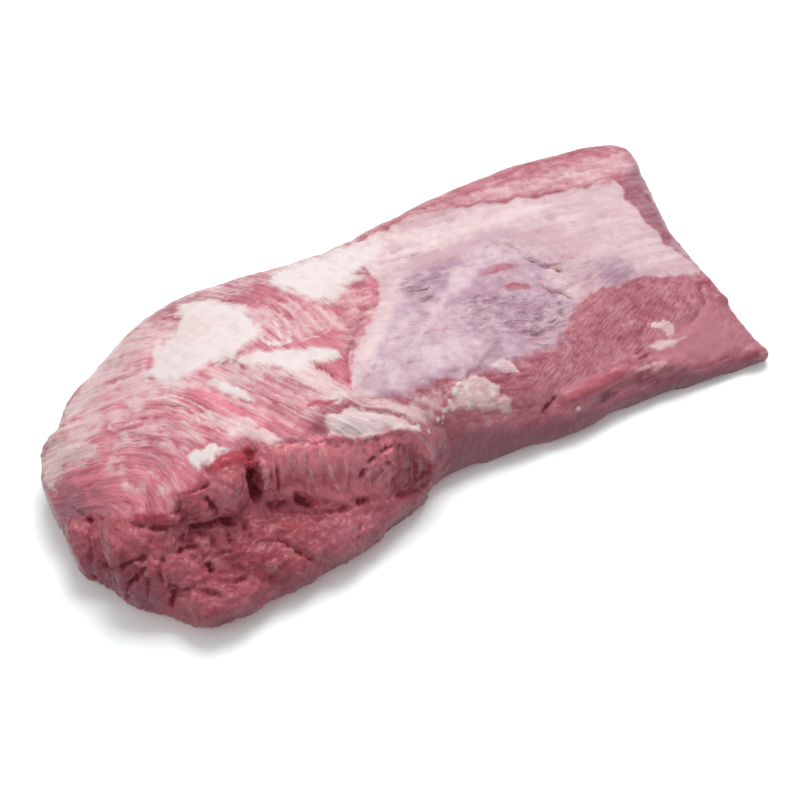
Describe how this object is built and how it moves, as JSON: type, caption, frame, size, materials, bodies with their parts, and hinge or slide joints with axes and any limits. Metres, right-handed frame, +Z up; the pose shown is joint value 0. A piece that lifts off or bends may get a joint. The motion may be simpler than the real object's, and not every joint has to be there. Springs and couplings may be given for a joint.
{
  "type": "point end brisket",
  "caption": "Raw boneless beef brisket, point end: a long slab of meat, thick and torn at the point and thin at the straight-cut flat end, lying fat side up.",
  "frame": {"origin": "middle of the object's box at the underside that it rests on", "axes": "+X from the thick point end to the thin flat end, +Y from the near long side, with the cut face, to the far one, +Z up"},
  "size_m": [0.469, 0.2368, 0.0776],
  "materials": {
    "meat": null
  },
  "bodies": {
    "root": {"brisket": "meat"}
  },
  "joints": []
}
